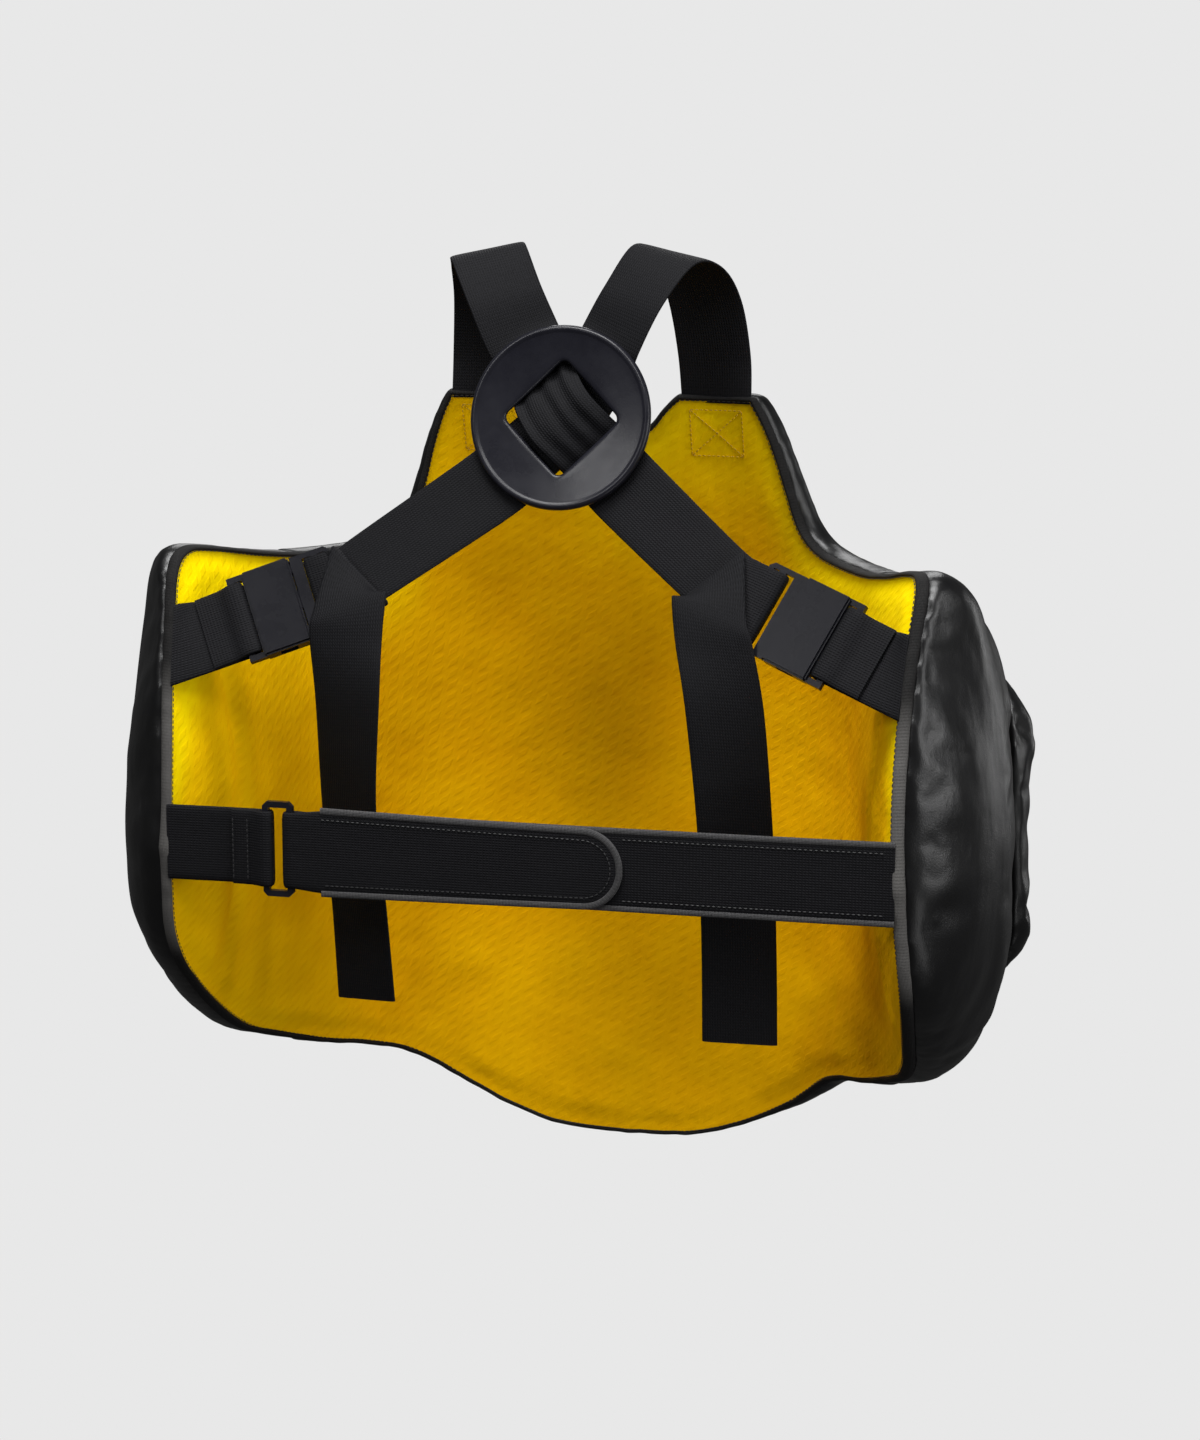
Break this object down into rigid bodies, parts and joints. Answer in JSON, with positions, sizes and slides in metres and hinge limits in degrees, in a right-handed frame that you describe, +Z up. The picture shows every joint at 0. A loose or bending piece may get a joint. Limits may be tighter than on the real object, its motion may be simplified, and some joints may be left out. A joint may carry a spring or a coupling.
{
  "type": "trainer's padded chest and belly protector",
  "caption": "Padded body protector with wraparound wings, a raised belly pad, crossed shoulder straps through a back ring, buckled webbing and a waist belt.",
  "frame": {"origin": "where the wearer's shoulders carry it: midway between the crowns of the two shoulder straps", "axes": "+Z up, +Y the way that the wearer faces, towards the leather front, +X to the wearer's right"},
  "size_m": [0.6102, 0.357, 0.6388],
  "materials": {
    "leather": "glossy black coated leather over foam, soft folds",
    "lining": "bright yellow padded fabric with a small embossed pattern",
    "binding": "dark grey woven edge tape",
    "webbing": "matte black woven webbing",
    "plastic": "satin black moulded plastic"
  },
  "bodies": {
    "root": {"back_ring": "plastic", "belly_pad": "leather", "belt_anchor": "webbing", "belt_loop": "plastic", "belt_strap": "webbing", "buckle_prong_left": "plastic", "buckle_prong_right": "plastic", "buckle_socket_left": "plastic", "buckle_socket_right": "plastic", "edge_binding": "binding", "front_pad": "leather", "harness_strap_left": "webbing", "harness_strap_right": "webbing", "lining": "lining", "side_pad_left": "leather", "side_pad_right": "leather", "side_strap_left": "webbing", "side_strap_right": "webbing", "strap_tail_left": "webbing", "strap_tail_right": "webbing"}
  },
  "joints": []
}
